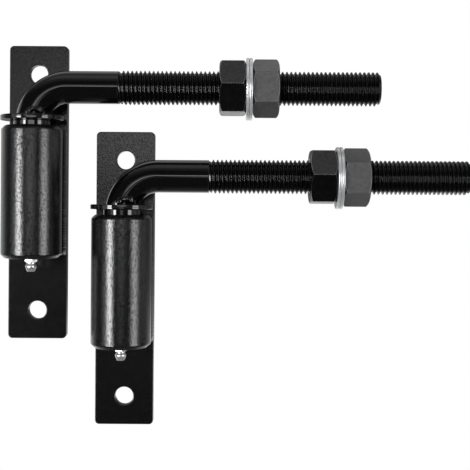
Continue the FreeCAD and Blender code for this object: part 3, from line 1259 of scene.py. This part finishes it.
# %% Cut the thread
pitch = 2.5 * mm
crest_radius = 9.9 * mm
root_radius = 8.42 * mm
thread_steps = 56
thread_lead_in = 1.5
spare_turns = 3
thread_seam_width = 0.004 * mm
thread_run_out = 2.6 * mm
thread_first_drop = 0.55 * mm
arm_end_chamfer = 1.7 * mm
arm_end_slope = 0.95
tooth = (
    (0.00, 0.00),
    (0.10, 0.00),
    (0.20, 0.12),
    (0.415, 0.86),
    (0.45, 0.97),
    (0.50, 1.00),
    (0.565, 1.00),
    (0.615, 0.97),
    (0.65, 0.86),
    (0.865, 0.12),
)


def thread_envelope(reach):
    """The largest radius the bar may have at a distance along the arm."""
    run_out = (reach - thread_start) / thread_run_out
    run_out = max(0.0, min(1.0, run_out))
    full_rise = crest_radius - bar_radius + thread_first_drop
    start_limit = bar_radius - thread_first_drop + full_rise * run_out
    end_limit = crest_radius - max(0.0, reach - (arm_end - arm_end_chamfer)) * arm_end_slope
    return min(start_limit, end_limit)


def make_thread():
    """The threaded part of the arm, cut square and closed at both ends."""
    length = arm_end - thread_start
    turns = int(length / pitch) + spare_turns
    depth = crest_radius - root_radius
    points = [Vector((share * pitch, 0, root_radius + rise * depth)) for share, rise in tooth]
    points.append(Vector((pitch, 0, root_radius)))
    thread = drawn_line("thread", points)
    apply_modifier(
        thread,
        "SCREW",
        axis="X",
        screw_offset=pitch,
        angle=math.tau,
        iterations=turns,
        steps=thread_steps,
        render_steps=thread_steps,
    )
    move_all(thread, along_arm * (thread_start - thread_lead_in * pitch))
    clean_up(thread, thread_seam_width)
    for reach, past in ((thread_start, False), (arm_end, True)):
        start_editing(thread)
        bpy.ops.mesh.bisect(
            plane_co=(reach, 0, 0),
            plane_no=(1, 0, 0),
            use_fill=True,
            clear_inner=not past,
            clear_outer=past,
            threshold=seam_width,
        )
        stop_editing()
    for corner in thread.data.vertices:
        place = corner.co
        radius = math.hypot(place.y, place.z)
        wanted = min(radius, thread_envelope(place.x))
        corner.co = Vector((place.x, place.y * wanted / radius, place.z * wanted / radius))
    move_all(thread, arm_axis)
    clean_up(thread)
    return thread


def make_j_bolt():
    """The bar and its thread in one mesh."""
    bolt = join(make_plain_bar(), make_thread())
    smooth_shade(bolt, angle=38)
    return bolt


print("turns of thread on the arm:", round((arm_end - thread_start) / pitch, 1))

# %% [markdown]
# Thrust washer and the weld that holds it
#
# The washer is a thick ring pushed up to the bend. It is turned in one go, hole and all. Its hole
# widens upwards to clear the bend, and its rim carries one fine turned line at mid height. Only
# the two long edges of the rim are rounded, so they are selected by their place and bevelled.

# %% Make the thrust washer
ring_hole_radius = 9.8 * mm
ring_hole_top_radius = 10.65 * mm
ring_line_half = 0.16 * mm
ring_line_depth = 0.22 * mm
ring_edge_round = 0.5 * mm
ring_steps = 160
rim_width = 0.05 * mm
level_width = 0.01 * mm
line_width = 1.0 * mm


def make_thrust_washer():
    """The ring with a fine line round its rim."""
    low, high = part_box("upper_thrust_washer")
    outer = (high.x - low.x) / 2
    middle = (low.z + high.z) / 2
    ring = turned(
        "made_thrust_washer",
        [
            (ring_hole_radius, low.z),
            (outer, low.z),
            (outer, middle - ring_line_half),
            (outer - ring_line_depth, middle),
            (outer, middle + ring_line_half),
            (outer, high.z),
            (ring_hole_top_radius, high.z),
            (ring_hole_radius, low.z),
        ],
        steps=ring_steps,
    )

    def on_rim_edge(first, last):
        """An edge that runs along the rim's top or bottom corner."""
        nearest = min((first - pin_axis).xy.length, (last - pin_axis).xy.length)
        on_rim = nearest > outer - rim_width
        level = abs(first.z - last.z) < level_width
        return on_rim and level and abs(first.z - middle) > line_width

    select_edges(ring, on_rim_edge)
    bpy.ops.mesh.bevel(offset=ring_edge_round, segments=4, affect="EDGES")
    stop_editing()
    smooth_shade(ring, angle=30)
    return ring


print("the thrust washer measures in mm:", size_of("upper_thrust_washer") / mm)

# %% [markdown]
# A short weld holds the washer to the side of the bend. A real one is a few puddles run together,
# so it starts as overlapping balls of uneven size, fuller in the middle of the run. A voxel
# remesh melts them into one skin, a cloud pattern makes it lumpy, and a little smoothing takes
# off the voxels' steps. Sculpting would do as well, but balls by numbers come out the same again.

# %% Make the washer's weld
weld_first = -90.0
weld_last = -42.0
weld_taper = 4.0
weld_seed = 5
weld_step = (5, 10)
weld_least_reach = 0.3
weld_bulge = 1.2
weld_foot = (0.3, 1.1)
weld_climb = 2.6
weld_ball_width = (0.8, 1.25)
weld_ball_height = (0.8, 1.3)
weld_ball_radius = 1.8 * mm
weld_voxel = 0.2 * mm
weld_lump_size = 1.4 * mm
weld_lump_height = 0.9 * mm


def make_washer_weld():
    """Overlapping blobs along the foot of the bend."""
    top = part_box("upper_thrust_washer")[1].z
    low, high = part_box("upper_washer_weld")
    draw = random.Random(weld_seed)
    blobs = []
    bearing = weld_first
    while bearing < weld_last:
        angle = math.radians(bearing)
        along = (bearing - weld_first + weld_taper) / (weld_last - weld_first + 2 * weld_taper)
        fullness = math.sin(math.pi * along)
        bearing += draw.uniform(*weld_step)
        reach = bar_radius + (weld_least_reach + weld_bulge * fullness) * mm
        foot = pin_axis + Vector((math.cos(angle), math.sin(angle), 0)) * reach
        foot.z = top + (draw.uniform(*weld_foot) + weld_climb * fullness) * mm
        blob = added(
            "weld_blob",
            bpy.ops.mesh.primitive_uv_sphere_add,
            segments=32,
            ring_count=16,
            radius=weld_ball_radius,
        )
        bpy.ops.object.mode_set(mode="EDIT")
        wide = draw.uniform(*weld_ball_width)
        tall = draw.uniform(*weld_ball_height)
        bpy.ops.transform.resize(value=(wide, 1.0, tall))
        bpy.ops.transform.translate(value=foot)
        bpy.ops.object.mode_set(mode="OBJECT")
        blobs.append(blob)
    weld = join(*blobs)
    weld.name = "made_washer_weld"
    apply_modifier(weld, "REMESH", mode="VOXEL", voxel_size=weld_voxel)
    lumps = bpy.data.textures.new("weld_lumps", "CLOUDS")
    lumps.noise_scale = weld_lump_size
    apply_modifier(
        weld,
        "DISPLACE",
        texture=lumps,
        texture_coords="LOCAL",
        strength=weld_lump_height,
        mid_level=0.55,
    )
    apply_modifier(weld, "SMOOTH", factor=0.5, iterations=3)
    for corner in weld.data.vertices:
        corner.co.z = min(max(corner.co.z, top), high.z)
    smooth_shade(weld, angle=60)
    return weld


print("the weld runs round the bend by", weld_last - weld_first, "degrees")

# %% [markdown]
# Nuts
#
# A nut is a six-sided bar that meets a cone at each end: the cone's cut leaves the arched edge on
# every flat. Bevelling the bar's ends would only give straight edges, so a six-sided cylinder is
# intersected with a turned double cone and bored. First comes the bar. Its six long edges are
# rounded before the cut, while nothing near them limits the bevel.

# %% Make a nut's bar
nut_across_flats = 29.8 * mm
nut_corner_radius = nut_across_flats / math.sqrt(3)
nut_long_edge_round = 0.5 * mm
hexagon_half_sector = 30


def nut_bar(inner, outer, turn):
    """A six-sided bar along the arm between two places, turned about it."""
    nut = added(
        "made_nut",
        bpy.ops.mesh.primitive_cylinder_add,
        vertices=6,
        radius=nut_corner_radius,
        depth=outer - inner,
        rotation=(0, math.radians(90), 0),
    )
    bpy.ops.object.transform_apply(location=False, rotation=True, scale=False)
    select_edges(nut, lambda first, last: abs(first.x - last.x) > (outer - inner) / 2)
    bpy.ops.mesh.bevel(offset=nut_long_edge_round, segments=4, affect="EDGES")
    stop_editing()
    first_corner = max(nut.data.vertices, key=lambda corner: corner.co.z).co
    now = math.degrees(math.atan2(first_corner.z, first_corner.y))
    turn_all(nut, math.radians(turn + hexagon_half_sector - now), "X", Vector())
    move_all(nut, arm_axis + along_arm * (inner + outer) / 2)
    return nut


print("the nuts measure in mm across flats:", nut_across_flats / mm)

# %% [markdown]
# An exact cut goes wrong now and then where two surfaces share points. So the cones reach a
# little beyond the six-sided bar, and both cutters are turned a little about the arm.

# %% Make a nut's two cutters
nut_chamfer = math.radians(30)
nut_face_share = 0.95
nut_face_radius = nut_across_flats / 2 * nut_face_share
nut_crown = ((0.30, 0.15), (0.60, 0.20), (0.85, 0.12))
nut_bore = crest_radius + 0.05 * mm
nut_bore_sink = 0.9 * mm
beyond = 1.0 * mm
cutter_turn = math.radians(0.7)


def nut_cones(inner, outer):
    """A turned double cone; what lies inside it stays of the bar."""
    slant = nut_corner_radius - nut_face_radius
    rise = slant * math.tan(nut_chamfer)
    crown = [
        (nut_face_radius + slant * share, inner + rise * (share - bulge))
        for share, bulge in nut_crown
    ]
    rim = nut_corner_radius + beyond
    rim_rise = rise + beyond * math.tan(nut_chamfer)
    cones = turned(
        "nut_cones",
        [
            (0, inner),
            (nut_face_radius, inner),
            *crown,
            (rim, inner + rim_rise),
            (rim, outer - rim_rise),
            *[(radius, inner + outer - reach) for radius, reach in reversed(crown)],
            (nut_face_radius, outer),
            (0, outer),
        ],
        centre=arm_axis,
        axis="X",
    )
    turn_all(cones, cutter_turn, "X", arm_axis)
    return cones


def nut_hole(inner, outer):
    """The bore with a countersink at each end."""
    hole = turned(
        "nut_hole",
        [
            (0, inner - mm),
            (nut_bore + nut_bore_sink + mm, inner - mm),
            (nut_bore, inner + nut_bore_sink),
            (nut_bore, outer - nut_bore_sink),
            (nut_bore + nut_bore_sink + mm, outer + mm),
            (0, outer + mm),
        ],
        centre=arm_axis,
        axis="X",
    )
    turn_all(hole, cutter_turn, "X", arm_axis)
    return hole


print("the nuts' bore in mm:", round(2 * nut_bore / mm, 2))

# %% [markdown]
# The bar is cut to the cones and bored, and its other edges are broken a little. Both nuts are
# made this way, and each stands on the arm as it happened to be tightened.

# %% Make the nuts
nut_seam_width = 0.03 * mm
nut_edge_break = 0.12 * mm
inner_nut_turn = 24.0
outer_nut_turn = 0.0


def make_nut(node, turn):
    """A hexagon nut in the place of a node, turned about the arm."""
    low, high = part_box(node)
    nut = nut_bar(low.x, high.x, turn)
    cut_away(nut, nut_cones(low.x, high.x), "INTERSECT")
    cut_away(nut, nut_hole(low.x, high.x))
    clean_up(nut, nut_seam_width)
    round_edges(nut, nut_edge_break, segments=2, angle=18)
    clean_up(nut)
    smooth_shade(nut, angle=24)
    return nut


def make_inner_nut():
    """The nut on the bend's side."""
    return make_nut("upper_inner_nut", inner_nut_turn)


def make_outer_nut():
    """The nut on the free side."""
    return make_nut("upper_outer_nut", outer_nut_turn)


print("the inner nut is turned from the outer one by", inner_nut_turn - outer_nut_turn, "degrees")

# %% [markdown]
# Flat washers
#
# Punched from sheet and zinc plated. The punch rolls the edges over, so all four are rounded
# well. A washer is turned about the arm, because a cylinder with a hole would need a cut.

# %% Make a washer
washer_hole_radius = 10.5 * mm
washer_edge_round = 0.55 * mm


def make_flat_washer(node):
    """A flat washer in the place of a node."""
    low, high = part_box(node)
    centre = middle_of(node)
    centre.x = 0
    outer = (high.z - low.z) / 2
    washer = turned(
        "made_washer",
        [
            (washer_hole_radius, low.x),
            (outer, low.x),
            (outer, high.x),
            (washer_hole_radius, high.x),
            (washer_hole_radius, low.x),
        ],
        centre=centre,
        axis="X",
        steps=ring_steps,
    )
    round_edges(washer, washer_edge_round, segments=4, angle=40)
    smooth_shade(washer)
    return washer


def make_inner_washer():
    """The washer against the inner nut."""
    return make_flat_washer("upper_inner_washer")


def make_outer_washer():
    """The washer against the outer nut."""
    return make_flat_washer("upper_outer_washer")


print("the flat washers measure in mm:", size_of("upper_inner_washer") / mm)

# %% [markdown]
# Dress both hinges
#
# Each piece is made once, given its finish, and copied to the lower hinge with a mesh of its own.
# It rides on the body that holds its node, stands for that node, and takes its finish's slot. The
# bolt is one piece with two finishes, because only its plain part is glossy.

# %% Make, copy and place every piece
makers = {
    "mounting_plate": make_mounting_plate,
    "barrel": make_barrel,
    "barrel_welds": make_barrel_welds,
    "bush": make_bush,
    "grease_nipple": make_grease_nipple,
    "nipple_ball": make_nipple_ball,
    "j_bolt": make_j_bolt,
    "thrust_washer": make_thrust_washer,
    "washer_weld": make_washer_weld,
    "inner_nut": make_inner_nut,
    "inner_washer": make_inner_washer,
    "outer_washer": make_outer_washer,
    "outer_nut": make_outer_nut,
}
body_of_node = {
    node: body for body, nodes in frame["record"]["behaviour"]["bodies"].items() for node in nodes
}
slot_of_node = {row["node"]: row["material_slot"] for row in frame["record"]["subparts"]}


def dress(piece, node):
    """Name a piece after its node, finish it and fix it to the node's body."""
    piece.name = node + "_made"
    piece.data.name = piece.name
    piece.data.materials.clear()
    kind = node.split("_", 1)[1]
    finish = finish_of_kind.get(kind, finish_of_slot[slot_of_node[node]])
    piece.data.materials.append(finish)
    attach(piece, body_of_node[node])
    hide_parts(node)


def box_gap(piece, node):
    """The most that a piece's box differs from its node's box."""
    low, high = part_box(node)
    gap = 0
    for axis in range(3):
        places = [corner.co[axis] for corner in piece.data.vertices]
        gap = max(gap, abs(min(places) - low[axis]), abs(max(places) - high[axis]))
    return gap


def finish_thread(bolt, start):
    """Give the faces past the start of the thread the thread's own finish."""
    bolt.data.materials.append(thread_coat)
    for face in bolt.data.polygons:
        if face.center.x > start:
            face.material_index = 1


for kind, make in makers.items():
    upper_piece = make()
    lower_piece = upper_piece.copy()
    lower_piece.data = upper_piece.data.copy()
    bpy.context.scene.collection.objects.link(lower_piece)
    lower_piece.data.transform(Matrix.Translation(to_lower_hinge))
    dress(upper_piece, "upper_" + kind)
    dress(lower_piece, "lower_" + kind)
    if kind == "j_bolt":
        finish_thread(upper_piece, thread_start)
        finish_thread(lower_piece, thread_start + to_lower_hinge.x)
    triangles = sum(len(face.vertices) - 2 for face in upper_piece.data.polygons)
    gap = round(box_gap(upper_piece, "upper_" + kind) / mm, 2)
    print(kind, triangles, "triangles, box off by", gap, "mm")
